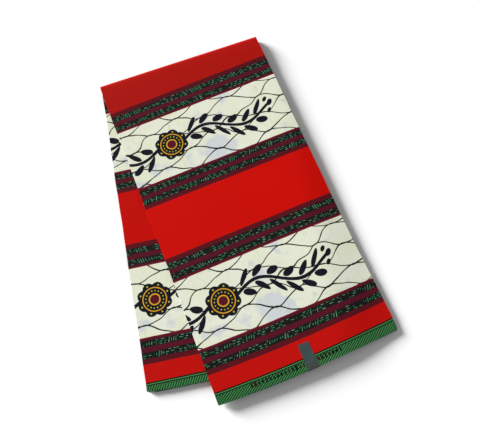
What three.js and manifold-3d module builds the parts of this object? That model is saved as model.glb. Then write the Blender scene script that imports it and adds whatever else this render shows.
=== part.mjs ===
// Six yards of wax print cotton, 47 inches wide, folded for the shelf.
// The cloth is folded to and fro along its length into a strip of eighteen plies, one panel wide.
// The strip is then folded over once, near mid width of the cloth, so that its two halves lie on
// each other with both selvedges at the open end. The fold is a little skewed, so the lower half
// fans out to the left from under the upper half.
//
// Working frame of the functions: X across the upper half from its left edge, Y along it from its
// selvedge towards the fold, Z up from the surface that the cloth lies on. The group is then moved
// so that the origin is the middle of the footprint. All lengths are in millimetres.

import * as THREE from "three";
import { mergeVertices } from "three/addons/utils/BufferGeometryUtils.js";
import Module from "manifold-3d";

const radians = THREE.MathUtils.degToRad;
const { lerp, smoothstep } = THREE.MathUtils;

// The folded strip
const PANEL_WIDTH = 304.8; // eighteen panels of 12 inches are six yards
const UPPER_LENGTH = 612; // left edge of the upper half, from its selvedge to the outside of the fold
const LOWER_LENGTH = 564; // left edge of the lower half, measured in the same way
const FOLD_SKEW = radians(4.15); // between the fold and the upper half's selvedge
const FAN_ANGLE = radians(10.55); // the lower half is turned by this from under the upper half
const HALF_HEIGHT = 7.2; // eighteen plies in each half, 0.4 mm apart as they lie
const CORNER_RADIUS = 4; // worn corners at the selvedge end
const TAPER_RUN = 24; // the upper half's right edge draws in over this distance at its selvedge
const END_SHIFT_RUN = 12; // plies that end short of one another lie evenly beyond this

// The plies that are solids of their own
const WALL = 1.1;
const SEAM_GAP = 0.3;
const LAYER_COUNT = 3; // lobes of the solid that holds the hidden plies
const LAYER_OVERLAP = 0.2;

// The fold and the way the upper half lies
const FOLD_HOLLOW = 1.2; // radius of the hollow inside the fold
const LOFT_RUN = 70; // the fold's spring dies out over this distance
const DROP_MARGIN = 9; // the upper half stays level this far past the lower half's edge
const DROP_RUN = 105; // and comes down to the surface over this distance

// The upper half's selvedge end lies in a shallow curve, and its plies spread a little there
const END_CURVE = { run: 160, middle: -3, sides: 5, slant: 0.9, shift: 1.1, spread: 2.9 };

// The sticker at the selvedge
const STICKER = { left: 148.4, width: 18, length: 39, tab: 5, thickness: 0.4 };

// How far each ply's edges stand in from the panel's outline, from the inside of the fold outwards:
// left and right edges, what the right edge draws in at the upper selvedge, and the selvedge ends
// of the upper and lower halves
const EDGES = {
  inner: { left: 0, right: 1.5, taper: 1, upperEnd: -1, lowerEnd: 4.5 },
  layers: [
    { left: 1.6, right: 0.4, taper: 1.4, upperEnd: 0.4, lowerEnd: 1.8 },
    { left: 0.5, right: 1.8, taper: 0.2, upperEnd: -1.8, lowerEnd: 3.2 },
    { left: 2, right: 0.8, taper: 0.6, upperEnd: -0.6, lowerEnd: 2.2 },
  ],
  outer: { left: 0, right: 0, taper: 3, upperEnd: -3, lowerEnd: 1.2 },
};

// Stations along each half, as distances from the selvedge, and across the panel, as shares
const UPPER_STATIONS = [
  0, 1.2, 4, 12, 20, 28, 36, 46, 60, 90, 130, 180, 240, 300, 360, 420, 470, 510, 540, 562,
];
const LOWER_STATIONS = [470, 320, 160, 40, 4, 1.2, 0];
const LEVEL_SHARES = [0, 0.2, 0.4, 0.6, 0.8];
const DROP_SHARES = [0, 0.25, 0.5, 0.75, 1];
const LEAST_DROP_WIDTH = 24;
const TURN_STEPS = 8;

// The fold's axis runs from the left edge of the upper half, down to the right
const LOWER_SKEW = FAN_ANGLE - FOLD_SKEW;
const TURN_RADIUS = HALF_HEIGHT + FOLD_HOLLOW;
const UPPER_AXIS = UPPER_LENGTH - TURN_RADIUS / Math.cos(FOLD_SKEW);
const LOWER_AXIS = LOWER_LENGTH - TURN_RADIUS / Math.cos(LOWER_SKEW);
const OUTWARDS = new THREE.Vector3(Math.sin(FOLD_SKEW), Math.cos(FOLD_SKEW), 0);

// The lower half's own axes, and its corner at the selvedge
const LOWER_ACROSS = new THREE.Vector3(Math.cos(FAN_ANGLE), -Math.sin(FAN_ANGLE), 0);
const LOWER_ALONG = new THREE.Vector3(Math.sin(FAN_ANGLE), Math.cos(FAN_ANGLE), 0);
const LOWER_CORNER = new THREE.Vector3(0, UPPER_AXIS, 0).addScaledVector(LOWER_ALONG, -LOWER_AXIS);
const LOWER_RIGHT_CORNER = LOWER_CORNER.clone().addScaledVector(LOWER_ACROSS, PANEL_WIDTH);

const upperAxisAt = (across) => UPPER_AXIS - across * Math.tan(FOLD_SKEW);
const lowerAxisAt = (across) => LOWER_AXIS + across * Math.tan(LOWER_SKEW);

// How far the middle of the upper half comes down where the lower half isn't under it
function drop(x, y) {
  const from = new THREE.Vector3(x, y, 0).sub(LOWER_RIGHT_CORNER);
  const pastRight = Math.max(0, from.dot(LOWER_ACROSS));
  const pastEnd = Math.max(0, -from.dot(LOWER_ALONG));
  const past = Math.hypot(pastRight, pastEnd);
  return (HALF_HEIGHT + SEAM_GAP / 2) * smoothstep(past - DROP_MARGIN, 0, DROP_RUN);
}

// Height of the face that the two halves share, under the upper half
function middleHeight(x, y) {
  const fromFold = (upperAxisAt(x) - y) * Math.cos(FOLD_SKEW);
  const loft = 2 * FOLD_HOLLOW * (1 - smoothstep(fromFold, 0, LOFT_RUN));
  return HALF_HEIGHT + loft - drop(x, y);
}

// Places in space: across the panel, along the half, and height out from the shared face
function upperPlace(across, along, height) {
  const share = 1 - smoothstep(along, 0, END_CURVE.run);
  const side = (2 * across) / PANEL_WIDTH - 1;
  const x = across + share * (END_CURVE.shift + END_CURVE.spread * side);
  const curve = END_CURVE.middle + END_CURVE.slant * side + END_CURVE.sides * side ** 2;
  const y = along + share * curve;
  return new THREE.Vector3(x, y, middleHeight(x, y) + height);
}

function lowerPlace(across, along, height) {
  return LOWER_CORNER.clone()
    .addScaledVector(LOWER_ACROSS, across)
    .addScaledVector(LOWER_ALONG, along)
    .setZ(HALF_HEIGHT - height);
}

function turnPlace(across, share, height) {
  const upper = upperPlace(across, upperAxisAt(across), 0);
  const lower = lowerPlace(across, lowerAxisAt(across), 0);
  const radius = height + FOLD_HOLLOW;
  const angle = share * Math.PI;
  return upper
    .lerp(lower, share)
    .addScaledVector(OUTWARDS, radius * Math.sin(angle))
    .setZ(HALF_HEIGHT + FOLD_HOLLOW + radius * Math.cos(angle));
}

// Across stations of the upper half: level over the lower half, then down past its right edge
function acrossAt(along) {
  const edge = LOWER_RIGHT_CORNER.x + (along - LOWER_RIGHT_CORNER.y) * Math.tan(FAN_ANGLE);
  const turn = Math.min(edge, PANEL_WIDTH - LEAST_DROP_WIDTH);
  return [
    ...LEVEL_SHARES.map((share) => share * turn),
    ...DROP_SHARES.map((share) => lerp(turn, PANEL_WIDTH, share)),
  ];
}

const NO_INSET = { left: 0, right: 0 };

// One ring round a ply: its rounded left edge, top face, rounded right edge and bottom face
function plyRing(acrossList, ply, inset, place) {
  const { low, high, left, right } = ply;
  const rounding = (high - low) / 2;
  const start = left + inset.left;
  const end = PANEL_WIDTH - right - inset.right;
  const inside = acrossList.map((x) => THREE.MathUtils.clamp(x, start + rounding, end - rounding));
  const spread = inside.map((x, i) => x + (i - inside.length / 2) * 1e-2);
  const middle = (low + high) / 2;
  return [
    place(start, middle),
    ...spread.map((x) => place(x, high)),
    place(end, middle),
    ...spread.map((x) => place(x, low)).reverse(),
  ];
}

// How far the outline's corners stand in, next to a selvedge end
function cornerInset(fromEnd, taper) {
  const toArc = Math.max(0, CORNER_RADIUS - fromEnd);
  const corner = CORNER_RADIUS - Math.sqrt(CORNER_RADIUS ** 2 - toArc ** 2);
  const drawn = taper * Math.max(0, 1 - fromEnd / TAPER_RUN) ** 1.5;
  return { left: corner, right: corner + drawn };
}

// How far a ply's end is set back, which dies out along the ply
function endShift(shift, fromEnd) {
  return shift * Math.max(0, 1 - fromEnd / END_SHIFT_RUN);
}

// Joins rings into one closed skin, with a ladder of faces across each end. The first half of a
// ring is its top and the rest its underside, and both are split along the same diagonals.
function skin(rings) {
  const size = rings[0].length;
  const faces = [];
  const quad = (a, b, c, d) => faces.push(a, b, c, a, c, d);
  for (let r = 0; r + 1 < rings.length; r += 1) {
    for (let i = 0; i < size; i += 1) {
      const j = (i + 1) % size;
      const corners = [r * size + i, r * size + j, (r + 1) * size + j, (r + 1) * size + i];
      if (i >= size / 2) corners.push(corners.shift());
      quad(...corners);
    }
  }
  const last = (rings.length - 1) * size;
  for (let i = 0; i + 1 < size / 2; i += 1) {
    const across = size - 1 - i;
    quad(i, across, across - 1, i + 1);
    quad(last + i, last + i + 1, last + across - 1, last + across);
  }
  const geometry = new THREE.BufferGeometry().setFromPoints(rings.flat()).setIndex(faces);
  return mergeVertices(geometry, 1e-4);
}

// A ply from the upper selvedge, over the fold and back to the lower selvedge
function foldedPly(ply) {
  const rings = [];
  for (const station of UPPER_STATIONS) {
    const inset = cornerInset(station, ply.taper);
    const alongAt = (x) => {
      const skewed = (upperAxisAt(x) - UPPER_AXIS) * (station / UPPER_AXIS);
      return station + endShift(ply.upperEnd, station) + skewed;
    };
    const place = (x, height) => upperPlace(x, alongAt(x), height);
    rings.push(plyRing(acrossAt(station), ply, inset, place));
  }
  const acrossTurn = acrossAt(UPPER_LENGTH);
  for (let step = 0; step <= TURN_STEPS; step += 1) {
    const place = (x, height) => turnPlace(x, step / TURN_STEPS, height);
    rings.push(plyRing(acrossTurn, ply, NO_INSET, place));
  }
  for (const station of LOWER_STATIONS) {
    const alongAt = (x) => {
      const fanned = endShift(ply.lowerEnd, station) * (1 - x / PANEL_WIDTH);
      return station + fanned + (lowerAxisAt(x) - LOWER_AXIS) * (station / LOWER_AXIS);
    };
    const place = (x, height) => lowerPlace(x, alongAt(x), height);
    rings.push(plyRing(acrossTurn, ply, cornerInset(station, 0), place));
  }
  return skin(rings);
}

// The hidden plies are one solid, with a rounded lobe for each layer along every edge
async function hiddenLayers(low, high) {
  const wasm = await Module();
  wasm.setup();
  const pitch = (high - low) / LAYER_COUNT;
  const solids = EDGES.layers.map((edges, i) => {
    const bottom = low + i * pitch - (i > 0 ? LAYER_OVERLAP : 0);
    const geometry = foldedPly({ ...edges, low: bottom, high: low + (i + 1) * pitch });
    const mesh = new wasm.Mesh({
      numProp: 3,
      vertProperties: new Float32Array(geometry.attributes.position.array),
      triVerts: new Uint32Array(geometry.index.array),
    });
    return new wasm.Manifold(mesh);
  });
  const joined = solids.reduce((all, solid) => all.add(solid)).getMesh();
  return new THREE.BufferGeometry()
    .setAttribute("position", new THREE.BufferAttribute(joined.vertProperties, 3))
    .setIndex(new THREE.BufferAttribute(joined.triVerts, 1));
}

// A strip that lies on the upper half and is folded down over its selvedge end
function selvedgeSticker() {
  const { left, width, length, tab, thickness } = STICKER;
  const face = HALF_HEIGHT + SEAM_GAP;
  const corner = (across, along, height) => upperPlace(left + across, along, height);
  const ring = (innerAlong, innerHeight, outerAlong, outerHeight) => [
    corner(0, innerAlong, innerHeight),
    corner(0, outerAlong, outerHeight),
    corner(width, outerAlong, outerHeight),
    corner(width, innerAlong, innerHeight),
  ];
  const onTop = [0.02, 0.25, 0.5, 0.75, 1].map((share) => {
    const along = share * length;
    return ring(along, face, along, face + thickness);
  });
  const front = EDGES.outer.upperEnd - SEAM_GAP;
  const bend = ring(front, face, front - thickness, face + thickness);
  const bottom = ring(front, HALF_HEIGHT - tab, front - thickness, HALF_HEIGHT - tab);
  return skin([bottom, bend, ...onTop]);
}

const COLOURS = { red: 0xc4140c, cream: 0xe4e8d0, maroon: 0x5c1a2a, slate: 0x46555a };

function piece(name, geometry, colour) {
  const material = new THREE.MeshStandardMaterial({ color: colour, roughness: 0.8, metalness: 0 });
  const mesh = new THREE.Mesh(geometry, material);
  mesh.name = name;
  return mesh;
}

const innerTop = SEAM_GAP / 2 + WALL;
const outerBottom = HALF_HEIGHT - WALL;
const outer = { ...EDGES.outer, low: outerBottom, high: HALF_HEIGHT };
const inner = { ...EDGES.inner, low: SEAM_GAP / 2, high: innerTop };

const fabric = new THREE.Group();
fabric.add(
  piece("front_cloth", foldedPly(outer), COLOURS.red),
  piece("hidden_layers", await hiddenLayers(innerTop + SEAM_GAP, outerBottom - SEAM_GAP), COLOURS.maroon),
  piece("back_cloth", foldedPly(inner), COLOURS.cream),
  piece("selvedge_sticker", selvedgeSticker(), COLOURS.slate),
);

// The origin is the middle of the footprint, on the surface
const box = new THREE.Box3().setFromObject(fabric);
const middle = box.getCenter(new THREE.Vector3());
fabric.position.set(-middle.x, -middle.y, 0);

export default fabric;
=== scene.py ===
import math

import bpy
import numpy as np
from mathutils import Matrix, Vector


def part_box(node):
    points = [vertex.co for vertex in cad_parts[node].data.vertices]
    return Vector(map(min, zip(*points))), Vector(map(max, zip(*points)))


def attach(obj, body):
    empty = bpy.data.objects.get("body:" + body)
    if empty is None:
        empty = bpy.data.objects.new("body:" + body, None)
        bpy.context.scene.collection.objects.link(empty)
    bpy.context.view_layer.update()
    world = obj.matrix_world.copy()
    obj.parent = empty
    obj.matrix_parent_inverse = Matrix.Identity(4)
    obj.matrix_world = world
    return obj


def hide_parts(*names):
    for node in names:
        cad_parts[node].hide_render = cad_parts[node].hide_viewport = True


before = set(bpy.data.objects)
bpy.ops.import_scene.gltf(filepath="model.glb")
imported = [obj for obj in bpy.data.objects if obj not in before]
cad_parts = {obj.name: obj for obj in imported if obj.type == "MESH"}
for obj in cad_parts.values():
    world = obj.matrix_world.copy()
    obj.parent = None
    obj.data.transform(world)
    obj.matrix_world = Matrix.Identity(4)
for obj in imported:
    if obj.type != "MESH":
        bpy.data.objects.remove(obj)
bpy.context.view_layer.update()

# Front cloth. The outermost ply of a folded length of wax print cotton: the top face of the upper
# half, the outside of the fold, and the underside of the lower half. It is one woven sheet, made
# as a thin shell, with its left edge folded under to become the second ply.
PANEL_WIDTH = 0.3048  # eighteen panels of 12 inches are six yards
UPPER_LENGTH = 0.612
LOWER_LENGTH = 0.564
FOLD_SKEW = math.radians(4.15)
FAN_ANGLE = math.radians(10.55)
HALF_HEIGHT = 0.0072
PLY_COUNT = 18
PLY_PITCH = HALF_HEIGHT / PLY_COUNT
CLOTH_THICKNESS = 0.0003
FOLD_HOLLOW = 0.0012
LOFT_RUN = 0.07
DROP_MARGIN = 0.009
DROP_RUN = 0.105
FRONT_REACH = 0.003  # the outermost ply's selvedge stands out past the panel's end

LOWER_SKEW = FAN_ANGLE - FOLD_SKEW
TURN_RADIUS = HALF_HEIGHT + FOLD_HOLLOW
UPPER_AXIS = UPPER_LENGTH - TURN_RADIUS / math.cos(FOLD_SKEW)
LOWER_AXIS = LOWER_LENGTH - TURN_RADIUS / math.cos(LOWER_SKEW)
OUTWARDS = np.array([math.sin(FOLD_SKEW), math.cos(FOLD_SKEW)])
LOWER_ACROSS = np.array([math.cos(FAN_ANGLE), -math.sin(FAN_ANGLE)])
LOWER_ALONG = np.array([math.sin(FAN_ANGLE), math.cos(FAN_ANGLE)])
LOWER_CORNER = np.array([0, UPPER_AXIS]) - LOWER_AXIS * LOWER_ALONG
LOWER_RIGHT_CORNER = LOWER_CORNER + PANEL_WIDTH * LOWER_ACROSS

# The upper half's selvedge end lies in a shallow curve, and its plies spread a little there
END_CURVE_RUN = 0.16
END_CURVE_MIDDLE, END_CURVE_SIDES, END_CURVE_SLANT = -0.003, 0.005, 0.0009
END_SHIFT, END_SPREAD = 0.0011, 0.0029


def smooth_step(value, start, end):
    share = np.clip((value - start) / (end - start), 0, 1)
    return share * share * (3 - 2 * share)


def end_curve(across, along):
    """Where a place on the upper half comes to lie, next to its selvedge end."""
    share = 1 - smooth_step(along, 0, END_CURVE_RUN)
    side = 2 * across / PANEL_WIDTH - 1
    curve = END_CURVE_MIDDLE + END_CURVE_SLANT * side + END_CURVE_SIDES * side * side
    return across + share * (END_SHIFT + END_SPREAD * side), along + share * curve


# Places start at the panel's near left corner. The sticker's far right corner, worked out from
# there and read from the frame, gives the way to the middle of the footprint.
STICKER_LEFT, STICKER_WIDTH, STICKER_LENGTH = 0.1484, 0.018, 0.039
sticker_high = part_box("selvedge_sticker")[1]
sticker_right = STICKER_LEFT + STICKER_WIDTH
FOOTPRINT_MIDDLE = np.array(
    [
        end_curve(sticker_right, 0)[0] - sticker_high[0],
        end_curve(sticker_right, STICKER_LENGTH)[1] - sticker_high[1],
    ]
)


def upper_axis_at(across):
    return UPPER_AXIS - across * math.tan(FOLD_SKEW)


def lower_axis_at(across):
    return LOWER_AXIS + across * math.tan(LOWER_SKEW)


def drop(x, y):
    """How far the upper half comes down where the lower half isn't under it."""
    from_x, from_y = x - LOWER_RIGHT_CORNER[0], y - LOWER_RIGHT_CORNER[1]
    past_right = np.maximum(0, from_x * LOWER_ACROSS[0] + from_y * LOWER_ACROSS[1])
    past_end = np.maximum(0, -(from_x * LOWER_ALONG[0] + from_y * LOWER_ALONG[1]))
    past = np.hypot(past_right, past_end)
    return HALF_HEIGHT * smooth_step(past - DROP_MARGIN, 0, DROP_RUN)


# Soft swells of the whole upper half: middle across and along, half sizes, turn and height
SWELLS = [
    (0.070, 0.300, 0.060, 0.045, 0.5, 0.00040),
    (0.215, 0.285, 0.075, 0.035, -0.4, 0.00035),
    (0.120, 0.470, 0.090, 0.040, 0.3, 0.00035),
    (0.245, 0.130, 0.060, 0.050, 0.9, 0.00030),
    (0.060, 0.110, 0.050, 0.040, -0.7, 0.00030),
]


def swell(x, y):
    """Height of the soft swells at a place on the upper half."""
    total = 0
    for middle_x, middle_y, half_x, half_y, turn, height in SWELLS:
        from_x, from_y = x - middle_x, y - middle_y
        along = (from_x * math.cos(turn) + from_y * math.sin(turn)) / half_x
        across = (from_y * math.cos(turn) - from_x * math.sin(turn)) / half_y
        total = total + height * np.exp(-along * along - across * across)
    return total


def middle_height(x, y):
    """Height of the face that the two halves share, under the upper half."""
    from_fold = (upper_axis_at(x) - y) * math.cos(FOLD_SKEW)
    loft = 2 * FOLD_HOLLOW * (1 - smooth_step(from_fold, 0, LOFT_RUN))
    return HALF_HEIGHT + loft - drop(x, y)


def upper_place(across, along, height):
    x, y = end_curve(across, along)
    return np.stack([x, y, middle_height(x, y) + swell(x, y) + height], axis=-1)


def lower_place(across, along, height):
    x = LOWER_CORNER[0] + across * LOWER_ACROSS[0] + along * LOWER_ALONG[0]
    y = LOWER_CORNER[1] + across * LOWER_ACROSS[1] + along * LOWER_ALONG[1]
    return np.stack([x, y, HALF_HEIGHT - height + 0 * x], axis=-1)


def turn_place(across, share, height):
    upper = upper_place(across, upper_axis_at(across), 0 * across)
    lower = lower_place(across, lower_axis_at(across), 0 * across)
    radius = height + FOLD_HOLLOW
    angle = share * math.pi
    place = upper + (lower - upper) * share
    place[..., 0] += OUTWARDS[0] * radius * math.sin(angle)
    place[..., 1] += OUTWARDS[1] * radius * math.sin(angle)
    place[..., 2] = HALF_HEIGHT + FOLD_HOLLOW + radius * math.cos(angle)
    place[..., 2] += (1 - share) * swell(across, upper_axis_at(across))
    return place


# How far each fold stands in from the panel's side, in millimetres, from the outermost inwards.
# Plies 1 and 2, 3 and 4 and so on are joined at the left, and 2 and 3, 4 and 5 at the right.
LEFT_INSETS = [0, 1.9, 1.2, 2.2, 0.7, 0.4, 1.5, 1.8, 0.2]
RIGHT_INSETS = [0.2, 0.9, 1.3, 0.6, 1.9, 1.6, 1.0, 0.5, 0.7, 1.5]
EDGE_WAVE, WAVE_RUN, WAVE_SHIFT = 0.0003, 0.031, 2.1
EDGE_RIPPLE, RIPPLE_RUN, RIPPLE_SHIFT = 0.00015, 0.0087, 4.7
CORNER_RADIUS = 0.0018
TAPER_RUN, TAPER_POWER = 0.024, 1.5
END_RUN = 0.012


def side_inset(insets, index, from_end, distance, taper):
    """How far a fold stands in from the panel's side at a distance along the strip."""
    wave = EDGE_WAVE * math.sin(distance / WAVE_RUN + WAVE_SHIFT * index)
    ripple = EDGE_RIPPLE * math.sin(distance / RIPPLE_RUN + RIPPLE_SHIFT * index)
    to_arc = max(0, CORNER_RADIUS - from_end)
    corner = CORNER_RADIUS - math.sqrt(CORNER_RADIUS**2 - to_arc**2)
    drawn = taper * max(0, 1 - from_end / TAPER_RUN) ** TAPER_POWER
    return insets[index] * 0.001 + EDGE_WAVE + wave + ripple + corner + drawn


# How far each ply's selvedge is set back from the panel's end, in millimetres, outermost first.
# The upper half's outermost ply stands out by FRONT_REACH.
UPPER_ENDS = [-3.0, -1.6, -2.1, -0.9, -1.4, 0.2, -0.7, 0.5, -0.4, -1.3, -0.2, 0.4, -1.0, -1.7, -0.6]
LOWER_ENDS = [1.4, 2.0, 3.1, 2.4, 3.4, 2.8, 3.6, 2.6, 3.9, 3.0, 2.2, 3.3, 2.5, 2.9, 3.5]
END_RIPPLE, END_RIPPLE_RUN, END_RIPPLE_SHIFT = 0.00035, 0.036, 1.7
# The lower half's left corner shows: how its face ply is set back there, and the plies under it
FACE_REACH, FACE_EASE, FACE_EASE_RUN = 0.0036, 0.0018, (0.012, 0.045)
CORNER_REACH, CORNER_RUN = 0.0039, (0.009, 0.0125)


def end_reach(ply, across, lower):
    """How far a ply's selvedge is set back from the panel's end, in metres."""
    ripple = END_RIPPLE * np.sin(across / END_RIPPLE_RUN + END_RIPPLE_SHIFT * ply) * (ply > 1)
    ends = LOWER_ENDS if lower else UPPER_ENDS
    reach = ends[(ply - 1) % len(ends)] * 0.001 + ripple
    if not lower:
        return reach
    if ply == PLY_COUNT:
        reach = FACE_REACH - FACE_EASE * smooth_step(across, *FACE_EASE_RUN)
    else:
        corner = 1 - smooth_step(across, *CORNER_RUN)
        reach = reach + (CORNER_REACH - reach) * corner
    return reach * (1 - across / PANEL_WIDTH)


NEAR_END = [0, 0.0005, 0.001, 0.0018, 0.003, 0.0055, 0.0085, END_RUN]
BEFORE_TURN = 0.0008
TURN_STEPS = 16


def stations(step):
    """Stations along the strip: the upper half, the turn of the fold, and the lower half."""
    upper = np.linspace(END_RUN, UPPER_AXIS - BEFORE_TURN, round(UPPER_AXIS / step))[1:]
    lower = np.linspace(END_RUN, LOWER_AXIS, round(LOWER_AXIS / step))[1:]
    turn = np.linspace(0, 1, TURN_STEPS + 1)[:-1]
    rows = [("upper", s) for s in [*NEAR_END, *upper]]
    rows += [("turn", s) for s in turn]
    rows += [("lower", s) for s in [*NEAR_END, *lower][::-1]]
    return rows


def ply_height(ply):
    return (PLY_COUNT - ply + 0.5) * PLY_PITCH


STUB = 0.004  # a visible ply's piece goes round its fold and this far under it
STUB_GAP = 0.0002
BEND_RADIUS = PLY_PITCH / 2
BEND_STEPS = 5


def section(run, left, right, columns):
    """One section through a run of plies: places across, heights, and the ply at each."""
    across, height, owner = [], [], []
    for order, ply in enumerate(run):
        low = left[(ply - 1) // 2] + BEND_RADIUS
        high = PANEL_WIDTH - right[ply // 2] - (BEND_RADIUS if 1 < ply < PLY_COUNT else 0)
        if ply in (2, PLY_COUNT - 1):
            if len(run) == 2:
                high = low + STUB
            else:
                low += STUB + STUB_GAP
        xs = low + (high - low) * columns
        if ply % 2:  # odd plies run from right to left, even ones back again
            xs = xs[::-1]
        across.extend(xs)
        height.extend([ply_height(ply)] * len(xs))
        owner.extend([ply] * len(xs))
        if order < len(run) - 1:
            bend_middle = low if ply % 2 else high
            side = -1 if ply % 2 else 1
            for step in range(1, BEND_STEPS):
                angle = math.pi * step / BEND_STEPS
                across.append(bend_middle + side * BEND_RADIUS * math.sin(angle))
                height.append(ply_height(ply) - BEND_RADIUS * (1 - math.cos(angle)))
                owner.append(ply)
    return np.array(across), np.array(height), np.array(owner)


BACK_PRINT_START = -0.03  # the part of the print that comes to lie on the lower half's face
CLOTH_WIDTH = 1.194
PRINT_SKEW, PRINT_STRETCH = 0.0115, 0.003  # the print isn't quite square to the folds


def print_across(across, owner):
    """Place along the cloth's length, from the front cloth's left edge."""
    plies_before = 2 * (owner // 2)
    mirrored = np.where(owner % 2, across, -across)
    place = mirrored - plies_before * PANEL_WIDTH + (1 - owner % 2) * 2 * PANEL_WIDTH
    return np.where(owner == PLY_COUNT, BACK_PRINT_START - across, place)


SKEW_RUN, STRETCH_RUN = (0.23, 0.39), (0.4, 0.54)  # where along the upper half these come in
TURN_RUN = 0.02  # about the way round the fold
FAR_FROM_END = 1
RIGHT_SHIFT = 1  # keeps the waves of the right side apart from those of the left
RIGHT_TAPERS = [0.003, *[0.0005] * 9]  # how far the upper half's folds draw in at its selvedge


def distance_along(part, station):
    """How far a station is along the strip, from the upper half's selvedge."""
    if part == "upper":
        return station
    if part == "turn":
        return UPPER_AXIS + TURN_RUN * station
    return UPPER_AXIS + LOWER_AXIS + TURN_RUN - station


def cloth_rows(run, step, columns):
    """Points and print places of every row of a run of plies, from selvedge to selvedge."""
    points, prints = [], []
    for part, station in stations(step):
        distance = distance_along(part, station)
        from_end = FAR_FROM_END if part == "turn" else station
        left, right = [], []
        for i in range(len(LEFT_INSETS)):
            left.append(side_inset(LEFT_INSETS, i, from_end, distance, 0))
        for i, upper_taper in enumerate(RIGHT_TAPERS):
            taper = upper_taper if part == "upper" else 0
            right.append(side_inset(RIGHT_INSETS, i, from_end, distance + RIGHT_SHIFT, taper))
        across, height, owner = section(run, left, right, columns)
        reach = np.array([end_reach(p, x, part == "lower") for p, x in zip(owner, across)])
        reach = reach * max(0, 1 - from_end / END_RUN)
        if part == "upper":
            skewed = (upper_axis_at(across) - UPPER_AXIS) * station / UPPER_AXIS
            along = station + reach + skewed
            points.append(upper_place(across, along, height))
            print_along = along + PRINT_SKEW * across * smooth_step(along, *SKEW_RUN)
            print_along += PRINT_STRETCH * smooth_step(along, *STRETCH_RUN)
        elif part == "lower":
            skewed = (lower_axis_at(across) - LOWER_AXIS) * station / LOWER_AXIS
            along = station + reach + skewed
            points.append(lower_place(across, along, height))
            print_along = CLOTH_WIDTH - along
        else:
            points.append(turn_place(across, station, height))
            start = upper_axis_at(across) + PRINT_SKEW * across + PRINT_STRETCH
            end = CLOTH_WIDTH - lower_axis_at(across)
            print_along = start + (end - start) * station
        prints.append(np.stack([print_across(across, owner), print_along], axis=-1))
    points, prints = np.array(points), np.array(prints)
    points[..., :2] -= FOOTPRINT_MIDDLE
    return points, prints


SMOOTH_BELOW = math.radians(50)


def thin_shell(name, points, thickness, material, prints=None):
    """A closed thin shell on a grid of points. A print's places go into its UV map."""
    row_count, column_count = points.shape[:2]
    index = np.arange(row_count * column_count).reshape(row_count, column_count)
    corners = [index[:-1, :-1], index[:-1, 1:], index[1:, 1:], index[1:, :-1]]
    faces = np.stack([c.ravel() for c in corners], axis=-1)
    mesh = bpy.data.meshes.new(name)
    mesh.from_pydata(points.reshape(-1, 3), [], faces.tolist())
    if prints is not None:
        layer = mesh.uv_layers.new(name="print")
        layer.data.foreach_set("uv", prints.reshape(-1, 2)[faces.ravel()].ravel())
    mesh.materials.append(material)
    piece = bpy.data.objects.new(name, mesh)
    bpy.context.collection.objects.link(piece)
    bpy.ops.object.select_all(action="DESELECT")
    piece.select_set(True)
    bpy.context.view_layer.objects.active = piece
    shell = piece.modifiers.new("thickness", "SOLIDIFY")
    shell.thickness, shell.offset = thickness, 0
    bpy.ops.object.modifier_apply(modifier=shell.name)
    bpy.ops.object.shade_smooth_by_angle(angle=SMOOTH_BELOW)
    return piece


def cloth_piece(name, run, step, columns, material):
    """The piece of cloth that a run of plies makes."""
    points, prints = cloth_rows(run, step, columns)
    return thin_shell(name, points, CLOTH_THICKNESS, material, prints)


def dye(red, green, blue):
    """A dye's colour, given from 0 to 255 as on a screen, as shares of the light."""
    shares = [c / 255 for c in (red, green, blue)]
    return [c / 12.92 if c < 0.04045 else ((c + 0.055) / 1.055) ** 2.4 for c in shares]


class Amount:
    """A number that varies over the cloth, worked out by the nodes of its material."""

    def __init__(self, tree, socket):
        self.tree, self.socket = tree, socket

    def work(self, operation, *others):
        node = self.tree.nodes.new("ShaderNodeMath")
        node.operation = operation
        for slot, item in zip(node.inputs, (self, *others)):
            if isinstance(item, Amount):
                self.tree.links.new(item.socket, slot)
            else:
                slot.default_value = item
        return Amount(self.tree, node.outputs[0])

    def __add__(self, other):
        return self.work("ADD", other)

    def __sub__(self, other):
        return self.work("SUBTRACT", other)

    def __mul__(self, other):
        return self.work("MULTIPLY", other)

    def __mod__(self, other):
        return self.work("FLOORED_MODULO", other)

    def __lt__(self, other):
        return self.work("LESS_THAN", other)

    def __gt__(self, other):
        return self.work("GREATER_THAN", other)

    def __neg__(self):
        return self * -1

    def __abs__(self):
        return self.work("ABSOLUTE")

    def __or__(self, other):
        return self.work("MAXIMUM", other)

    def __and__(self, other):
        return self.work("MULTIPLY", other)

    def floor(self):
        return self.work("FLOOR")

    def sine(self):
        return self.work("SINE")

    def least(self, other):
        return self.work("MINIMUM", other)

    def away(self, other):
        """Distance, from this across and the other along."""
        return (self * self + other * other).work("SQRT")

    def every(self, pitch):
        """Signed distance from the middle of the nearest of a row of places."""
        return self % pitch - pitch / 2


def scatter(tree, along, across):
    """A random number from 0 to 1 for each pair of whole numbers."""
    joined = tree.nodes.new("ShaderNodeCombineXYZ")
    for slot, item in zip(joined.inputs, (along, across)):
        if isinstance(item, Amount):
            tree.links.new(item.socket, slot)
        else:
            slot.default_value = item
    noise = tree.nodes.new("ShaderNodeTexWhiteNoise")
    noise.noise_dimensions = "3D"
    tree.links.new(joined.outputs[0], noise.inputs["Vector"])
    return Amount(tree, noise.outputs["Value"])


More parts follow.
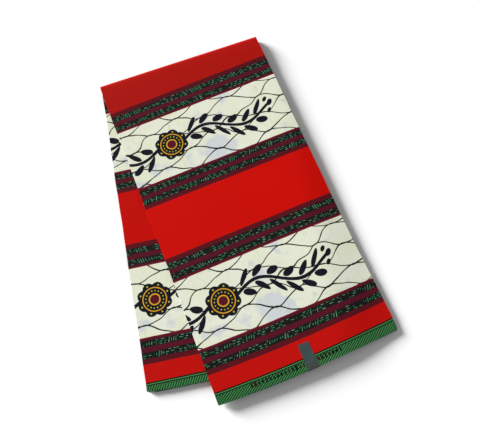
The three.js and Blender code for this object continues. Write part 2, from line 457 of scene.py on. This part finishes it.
def cloudy(tree, places, size, detail, shift):
    """Soft noise from about -0.5 to 0.5, with clouds of the given size in millimetres."""
    noise = tree.nodes.new("ShaderNodeTexNoise")
    noise.inputs["Scale"].default_value = 1000 / size
    noise.inputs["Detail"].default_value = detail
    moved = tree.nodes.new("ShaderNodeVectorMath")
    moved.operation = "ADD"
    moved.inputs[1].default_value = (shift, shift * 0.7, shift * 1.3)
    tree.links.new(places, moved.inputs[0])
    tree.links.new(moved.outputs[0], noise.inputs["Vector"])
    return Amount(tree, noise.outputs["Fac"]) - 0.5


def paint(tree, under, over, where):
    """Lays a colour over another where a mask is 1."""
    mix = tree.nodes.new("ShaderNodeMix")
    mix.data_type = "RGBA"
    tree.links.new(where.socket, mix.inputs["Factor"])
    colour_slots = [s for s in mix.inputs if s.type == "RGBA"]
    for slot, colour in zip(colour_slots, (under, over)):
        if isinstance(colour, bpy.types.NodeSocket):
            tree.links.new(colour, slot)
        else:
            slot.default_value = (*dye(*colour), 1)
    return next(s for s in mix.outputs if s.type == "RGBA")


# The print, in millimetres: across is along the cloth's length, along is from the selvedge
SELVEDGE = 17.7
BAND_REPEAT, BAND_MIDDLE = 299, 149
CREAM_HALF = 59.6
BORDER = 43.2
STRIPE, DASHED = 8.2, 10.8  # plain and dashed stripes of a border
FIRST_STRIPE = 5.2  # the plain stripe next to the cream is narrower
SET_IN, NARROWED = 1.2, 0.045  # the far band's near border starts sooner, and is narrower
BAND_SLIP = 18  # the design's place in one band is moved along from the next band's
ROSETTE_REPEAT, ROSETTE_PLACE = 440, 84
# The second and third reds are painted shade: darker reds standing in for the shade by the fold and
# by the selvedge
RED, FOLD_SHADE_RED, SELVEDGE_SHADE_RED = (187, 10, 3), (162, 18, 11), (176, 14, 9)
INNER_RED = (177, 9, 3)  # the red inside the fold
CREAM, CREAM_SHADE, CREAM_GREY = (213, 216, 199), (209, 213, 187), (193, 198, 199)
CRACKLE = (170, 178, 164)
MAROON, EDGE_MAROON, EDGE_RED = (79, 18, 32), (82, 17, 26), (132, 20, 30)
NEAR_BLACK, BORDER_BLACK = (20, 20, 31), (25, 24, 25)
GOLD, YELLOW = (200, 148, 34), (176, 166, 48)
NET_LINE = (26, 33, 26)
DASH_GREEN, DASH_PALE = (54, 134, 88), (124, 178, 144)
HATCH_GROUND, HATCH_LINE = (14, 54, 28), (76, 136, 80)
SELVEDGE_LINE, SELVEDGE_PALE, SELVEDGE_GREEN = (18, 18, 12), (76, 130, 76), (8, 50, 24)
MARK_DARK, MARK_RED = (8, 28, 14), (48, 22, 20)
FOLD_SHADE_FROM, SELVEDGE_SHADE_TO = 530, 60  # painted shade: the red is made a little darker by the fold and by the selvedge
MARKS_MIDDLE, MARKS_HALF, MARKS_IN = 134, 76, 8  # the row of marks on the selvedge
SELVEDGE_LINES = [(12.1, SELVEDGE_GREEN), (14.2, SELVEDGE_PALE), (15.5, SELVEDGE_LINE)]


def net_lines(tree, u, v, places):
    """The hand-drawn net: lines that swing together and apart, two by two."""
    wander_along, wander_in = 34, 17
    period, spacing, first_join, first_line = 98, 18, 61.5, 26
    swing_share = 0.52  # past half of the spacing, so the lines cross a little
    half_line, half_line_change = 1.1, 0.5
    u = u + cloudy(tree, places, 60, 1, 3.1) * wander_along
    v = v + cloudy(tree, places, 48, 1, 7.7) * wander_in
    swing = ((u - first_join) * (2 * math.pi / period)).work("COSINE") * (spacing * swing_share)
    one_way = abs((v - (first_line - spacing) - swing).every(2 * spacing))
    other_way = abs((v - first_line + swing).every(2 * spacing))
    half_width = cloudy(tree, places, 12, 1, 1.3) * half_line_change + half_line
    return one_way.least(other_way) < half_width


def border_dashes(tree, u, across, stripe, places):
    """Clusters of short strokes in a dashed stripe, some lying and some standing."""
    pitch, stroke_pitch, upright_pitch = 18.5, 9, 4.1
    half_stroke, half_line, row_width = 2.5, 0.48, DASHED / 3
    standing_share, missing_share = 0.3, 0.27
    tallest_half, half_change, slope = 4.9, 4.4, 0.3
    u = u + stripe * 23.7 + cloudy(tree, places, 14, 1, 5.2) * 3
    across = across + cloudy(tree, places, 9, 1, 9.4) * 1.6
    cluster = (u * (1 / pitch)).floor()
    place = u % pitch
    standing = scatter(tree, cluster, stripe) < standing_share
    row = (across * (3 / DASHED)).floor()
    row_shift = scatter(tree, row + cluster * 5, stripe) * 7
    moved = place + row_shift
    stroke = (moved * (1 / stroke_pitch)).floor()
    kept = scatter(tree, stroke + row * 7 + cluster * 31, stripe) > missing_share
    lying = (abs(moved.every(stroke_pitch)) < half_stroke) & kept
    lying = lying & (abs(across.every(row_width)) < half_line)
    lean = place + across * slope
    number = (lean * (1 / upright_pitch)).floor() + cluster * 11
    height = scatter(tree, number, stripe) * half_change
    upright = abs(lean.every(upright_pitch)) < half_line
    upright = upright & (abs(across - DASHED / 2) < (-height + tallest_half))
    inside = (place > 1) & (place < (pitch - 1))
    return (upright & standing | lying & (-standing + 1)) & inside


def rosette_sprays(u, b):
    """A big scalloped rosette and the leafy sprays that swing out from it to both sides."""
    from_centre = u.away(b)
    angle = b.work("ARCTAN2", u) + 2 * math.pi
    petals, petal_depth, notch_radius = 8, 4.5, 25.5
    flower = from_centre < (abs((angle * (petals / 2)).sine()) * petal_depth + notch_radius)
    heart, bead_circle, ring_circle, outer_circle = 9, 14.8, 20, 24.8
    jewel = from_centre < heart
    rings = (abs(from_centre - heart) < 1.1) | (abs(from_centre - ring_circle) < 0.9)
    inner_bead = (angle.every(math.pi / petals) * bead_circle).away(from_centre - bead_circle)
    outer_bead = (angle.every(2 * math.pi / petals) * outer_circle).away(from_centre - outer_circle)
    beads = (inner_bead < 1.2) | (outer_bead < 1.5)
    # A spray: a swinging stem with pairs of small leaves, and berries at its end
    along, out = abs(u), b * u.work("SIGN")
    stem_start, stem_end, stem_half = 25, 188, 3
    stem_period, stem_swing = 150, 14
    stem_line = ((along - stem_start) * (2 * math.pi / stem_period)).sine() * stem_swing
    from_stem = out - stem_line
    stem = (along > stem_start) & (along < stem_end) & (abs(from_stem) < stem_half)
    pitch, first_leaf, leaf_pairs = 24, stem_start + 8, 6
    leaf_out, leaf_half, leaf_slimness, lean = 13.5, 5, 0.38, math.radians(48)
    from_leaf = (along - first_leaf).every(pitch) - 1
    past_leaf = abs(from_stem) - leaf_out
    lengthways = from_leaf * math.sin(lean) + past_leaf * math.cos(lean)
    sideways = from_leaf * math.cos(lean) - past_leaf * math.sin(lean)
    leaflets = (lengthways * leaf_slimness).away(sideways) < leaf_half
    leaflets = leaflets & (along > first_leaf) & (along < (first_leaf + leaf_pairs * pitch))
    end = along - stem_end
    berries = (end - 3).away(from_stem) < 5.5
    berries = berries | ((end + 3).away(abs(from_stem) - 12) < 4.2)
    return flower | stem | leaflets | berries, jewel, rings, beads


def wax_print(name):
    """Printed cotton: bands, dashed borders, net, rosettes with sprays and hatched selvedge."""
    material = bpy.data.materials.new(name)
    material.use_nodes = True
    tree = material.node_tree
    shader = tree.nodes["Principled BSDF"]
    uv = tree.nodes.new("ShaderNodeUVMap")
    uv.uv_map = "print"
    places = uv.outputs[0]
    parts = tree.nodes.new("ShaderNodeSeparateXYZ")
    tree.links.new(places, parts.inputs[0])
    u_cloth = Amount(tree, parts.outputs[0]) * 1000
    v_cloth = Amount(tree, parts.outputs[1]) * 1000
    # Past mid width the design is turned round, and is counted from the other selvedge
    turned = v_cloth > (CLOTH_WIDTH * 500)
    u = u_cloth - u_cloth * turned * 2
    v = v_cloth + (-v_cloth * 2 + CLOTH_WIDTH * 1000) * turned
    v_drawn = v + cloudy(tree, places, 30, 1, 2.2) * 1.2

    shift = BAND_REPEAT / 2 - BAND_MIDDLE
    from_middle = (v_drawn + shift) % BAND_REPEAT - BAND_REPEAT / 2
    upper_band = v > (BAND_MIDDLE + BAND_REPEAT / 2)
    u_band = u + (-upper_band + 1) * BAND_SLIP
    band_joined = tree.nodes.new("ShaderNodeCombineXYZ")
    tree.links.new((u_band * 0.001).socket, band_joined.inputs[0])
    tree.links.new((from_middle * 0.001).socket, band_joined.inputs[1])
    band_places = band_joined.outputs[0]

    tone = cloudy(tree, places, 40, 2, 18.1) * 2.4 + 0.4
    cream = paint(tree, CREAM, CREAM_SHADE, tone.least(1) | 0)
    patches = cloudy(tree, band_places, 60, 1, 4.4) + cloudy(tree, places, 16, 2, 8.8) * 0.3
    grey = ((patches - 0.09) * 14).least(1) | 0
    cream = paint(tree, cream, CREAM_GREY, grey)
    cracks = abs(cloudy(tree, places, 60, 2, 21.3)) < 0.004
    cream = paint(tree, cream, CRACKLE, cracks * 0.4)
    lines = net_lines(tree, u_band, from_middle + BAND_MIDDLE, band_places)
    colour = paint(tree, cream, NET_LINE, lines)

    u_rosette = (u_band + (ROSETTE_REPEAT / 2 - ROSETTE_PLACE)) % ROSETTE_REPEAT
    u_rosette = u_rosette - ROSETTE_REPEAT / 2 + cloudy(tree, band_places, 12, 1, 6.1) * 1.6
    dark, jewel, ring, beads = rosette_sprays(u_rosette, from_middle)
    for dye_colour, mask in (
        (NEAR_BLACK, dark), (MAROON, jewel), (GOLD, ring), (YELLOW, beads)
    ):
        colour = paint(tree, colour, dye_colour, mask)

    near_border = upper_band & (from_middle < 0)
    into_border = abs(from_middle) - CREAM_HALF + near_border * SET_IN
    into_border = into_border * (near_border * NARROWED + 1)
    stripe_pitch = STRIPE + DASHED
    into_stripes = into_border + (STRIPE - FIRST_STRIPE)
    within = into_stripes % stripe_pitch
    in_dashed = within > STRIPE
    border_number = (v * (1 / BAND_MIDDLE)).floor()
    stripe = (into_stripes * (1 / stripe_pitch)).floor() + border_number * 2
    dashes = border_dashes(tree, u, within - STRIPE, stripe, places)
    plain = paint(tree, MAROON, EDGE_MAROON, into_stripes > (2 * stripe_pitch))
    plain = paint(tree, plain, EDGE_RED, into_border < 1.0)
    border = paint(tree, plain, BORDER_BLACK, in_dashed)
    pale = cloudy(tree, places, 7, 1, 12.2) > 0.08
    dash_colour = paint(tree, DASH_GREEN, DASH_PALE, pale * 0.6)
    border = paint(tree, border, dash_colour, dashes & in_dashed)
    colour = paint(tree, colour, border, into_border > 0)
    red = paint(tree, RED, INNER_RED, turned)
    # Painted shade: the red darkens towards the fold and towards the selvedge
    red = paint(tree, red, FOLD_SHADE_RED, v > FOLD_SHADE_FROM)
    red = paint(tree, red, SELVEDGE_SHADE_RED, v < SELVEDGE_SHADE_TO)
    colour = paint(tree, colour, red, into_border > BORDER)

    # The selvedge: hatching with a row of plain marks, then a green, a pale and a dark line
    slope = -turned * 0.8 + 1.35
    pitch = -turned * 1.2 + 5.4
    hatch_lines = (u - v * slope + cloudy(tree, places, 8, 1, 3.3) * 0.8) % pitch
    selvedge = paint(tree, HATCH_GROUND, HATCH_LINE, hatch_lines < (pitch * 0.35))
    mark_pitch = 6.2
    mark = (u * (1 / mark_pitch)).floor()
    mark_half = scatter(tree, mark, 3) * 1.4 + 1.1
    mark_height = scatter(tree, mark, 8) * 1.8 + 2.2
    marks = (abs(u.every(mark_pitch)) < mark_half) & (abs(v - MARKS_IN) < mark_height)
    every_two_panels = u % (2000 * PANEL_WIDTH)
    marked = (abs(every_two_panels - MARKS_MIDDLE) < MARKS_HALF) & (-turned + 1)
    mark_colour = paint(tree, MARK_DARK, MARK_RED, scatter(tree, mark, 5) > 0.75)
    selvedge = paint(tree, selvedge, mark_colour, marks & marked)
    for line_start, line_colour in SELVEDGE_LINES:
        selvedge = paint(tree, selvedge, line_colour, v_drawn > line_start)
    colour = paint(tree, colour, selvedge, v_drawn < SELVEDGE)

    tree.links.new(colour, shader.inputs["Base Color"])
    shader.inputs["Roughness"].default_value = 0.7
    shader.inputs["Specular IOR Level"].default_value = 0.03
    shader.inputs["Sheen Weight"].default_value = 0.004
    shader.inputs["Sheen Roughness"].default_value = 0.5

    thread_pitch = 0.7
    thread = 2 * math.pi / thread_pitch
    weave = (u * thread).sine() + (v * thread).sine()
    weave = weave + cloudy(tree, places, 25, 3, 15.5) * 3
    bump = tree.nodes.new("ShaderNodeBump")
    bump.inputs["Strength"].default_value = 0.26
    bump.inputs["Distance"].default_value = 0.00003
    tree.links.new(weave.socket, bump.inputs["Height"])
    tree.links.new(bump.outputs[0], shader.inputs["Normal"])
    return material


FRONT_STEP = 0.005
EDGE_COLUMNS = np.array([0, 0.0008, 0.003, 0.01])
FRONT_COLUMNS = np.array([*EDGE_COLUMNS, *np.linspace(0.025, 0.975, 57), *(1 - EDGE_COLUMNS[::-1])])
front_cloth = cloth_piece(
    "front_cloth_sheet", [1, 2], FRONT_STEP, FRONT_COLUMNS, wax_print("front_print")
)
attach(front_cloth, "root")
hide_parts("front_cloth")

# Back cloth. The innermost ply of the same length of cotton, face to face with itself inside the
# fold: it shows where the lower half fans out to the left. Folded under at its left edge as well.
back_cloth = cloth_piece(
    "back_cloth_sheet", [PLY_COUNT - 1, PLY_COUNT], FRONT_STEP, FRONT_COLUMNS,
    wax_print("back_print"),
)
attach(back_cloth, "root")
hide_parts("back_cloth")

# Hidden layers. The sixteen plies between them, folded to and fro from side to side, which show
# at every edge. One run of the same cloth, whose folds don't quite lie under one another.
LAYER_STEP = 0.015
LAYER_COLUMNS = np.array([0, 0.001, 0.01, 0.07, 0.2, 0.34, 0.45, *np.linspace(0.51, 0.93, 8)])
LAYER_COLUMNS = np.array([*LAYER_COLUMNS, 0.97, 0.99, 0.999, 1])
hidden_layers = cloth_piece(
    "hidden_layers_sheet", list(range(2, PLY_COUNT)), LAYER_STEP, LAYER_COLUMNS,
    wax_print("layers_print"),
)
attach(hidden_layers, "root")
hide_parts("hidden_layers")

# Selvedge sticker. A strip of dark satin paper, stuck on the upper half at its selvedge and
# folded down over the end. It is left blank.
STICKER_TAB = 0.005
STICKER_THICKNESS = 0.00018
STICKER_BEND = 0.0006
STICKER_LIFT, STICKER_CLEARANCE = 0.00005, 0.0002  # off the cloth's face, and off its end
# Painted shade: over this length the sticker's end, folded down over the selvedge, is made darker
# and browner
SHADED_END_LENGTH = 0.004
PAPER, PAPER_SHADE, SHADED_END_PAPER = (49, 66, 69), (40, 58, 61), (54, 52, 46)

sticker_paper = bpy.data.materials.new("sticker_paper")
sticker_paper.use_nodes = True
paper_tree = sticker_paper.node_tree
paper_shader = paper_tree.nodes["Principled BSDF"]
paper_place = paper_tree.nodes.new("ShaderNodeTexCoord")
paper_clouds = cloudy(paper_tree, paper_place.outputs["Object"], 18, 2, 1.7)
paper_colour = paint(paper_tree, PAPER, PAPER_SHADE, paper_clouds * 2 + 0.5)
paper_parts = paper_tree.nodes.new("ShaderNodeSeparateXYZ")
paper_tree.links.new(paper_place.outputs["Object"], paper_parts.inputs[0])
# Painted shade on the sticker's folded end: its colour is mixed towards a darker brown there
shaded_end_below = (SHADED_END_LENGTH - FOOTPRINT_MIDDLE[1]) * 1000
paper_end_shade = Amount(paper_tree, paper_parts.outputs[1]) * 1000 < shaded_end_below
paper_colour = paint(paper_tree, paper_colour, SHADED_END_PAPER, paper_end_shade * 0.7)
paper_tree.links.new(paper_colour, paper_shader.inputs["Base Color"])
paper_shader.inputs["Roughness"].default_value = 0.45

face_height = ply_height(1) + CLOTH_THICKNESS / 2 + STICKER_THICKNESS / 2 + STICKER_LIFT
end_along = -FRONT_REACH - STICKER_BEND - STICKER_CLEARANCE
lengthwise = [(STICKER_LENGTH * share, face_height) for share in np.linspace(1, 0, 13)]
lengthwise += [
    (end_along + STICKER_BEND * (1 - math.sin(a)), face_height - STICKER_BEND * (1 - math.cos(a)))
    for a in np.linspace(0, math.pi / 2, 6)
]
lengthwise += [(end_along, face_height - STICKER_BEND - STICKER_TAB * s) for s in (0.3, 0.6, 1)]
sticker_across = STICKER_LEFT + STICKER_WIDTH * np.linspace(1, 0, 7)
sticker_rows = []
for along, height in lengthwise:
    sticker_rows.append(upper_place(sticker_across, along + 0 * sticker_across, height))
sticker_points = np.array(sticker_rows)
sticker_points[..., :2] -= FOOTPRINT_MIDDLE
sticker = thin_shell("selvedge_sticker_strip", sticker_points, STICKER_THICKNESS, sticker_paper)
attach(sticker, "root")
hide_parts("selvedge_sticker")

# The studio: a plain white floor, a large soft light low at the far left, a pale surround, and
# the camera above the cloth's near end.
bpy.ops.mesh.primitive_plane_add(size=12, location=(0, 0, 0))
floor = bpy.context.active_object
floor.name = "floor"
white = bpy.data.materials.new("floor_white")
white.use_nodes = True
white_shader = white.node_tree.nodes["Principled BSDF"]
white_shader.inputs["Base Color"].default_value = (0.9, 0.9, 0.9, 1)
white_shader.inputs["Roughness"].default_value = 0.9
white_shader.inputs["Specular IOR Level"].default_value = 0.1
floor.data.materials.append(white)

LIGHT_FROM = Vector((-0.63, 0.78, 0)).normalized()
LIGHT_ELEVATION = math.radians(20)
key_data = bpy.data.lights.new("key_light", "SUN")
key_data.energy = 7.75
key_data.angle = math.radians(25)
key = bpy.data.objects.new("key_light", key_data)
bpy.context.collection.objects.link(key)
towards = LIGHT_FROM * math.cos(LIGHT_ELEVATION) + Vector((0, 0, math.sin(LIGHT_ELEVATION)))
key.location = towards * 2
key.rotation_euler = towards.to_track_quat("Z", "Y").to_euler()

world = bpy.data.worlds.new("surround")
world.use_nodes = True
background = world.node_tree.nodes["Background"]
background.inputs["Color"].default_value = (1, 1, 1, 1)
background.inputs["Strength"].default_value = 0.32
bpy.context.scene.world = world
bpy.context.scene.view_settings.view_transform = "Standard"

CAMERA_PLACE = (0.09557, -0.05563, 1.02639)
CAMERA_RIGHT = Vector((0.92479, -0.37297, -0.07526))
CAMERA_UP = Vector((0.37798, 0.87786, 0.2941))
camera_data = bpy.data.cameras.new("camera")
camera_data.lens, camera_data.sensor_width = 46.875, 36
camera_data.clip_start, camera_data.clip_end = 0.05, 50
camera = bpy.data.objects.new("camera", camera_data)
bpy.context.collection.objects.link(camera)
right = CAMERA_RIGHT.normalized()
back = right.cross(CAMERA_UP).normalized()
up = back.cross(right)
place = Vector(CAMERA_PLACE) - Vector((*FOOTPRINT_MIDDLE, 0))
camera.matrix_world = Matrix.Translation(place) @ Matrix((right, up, back)).transposed().to_4x4()
bpy.context.scene.camera = camera
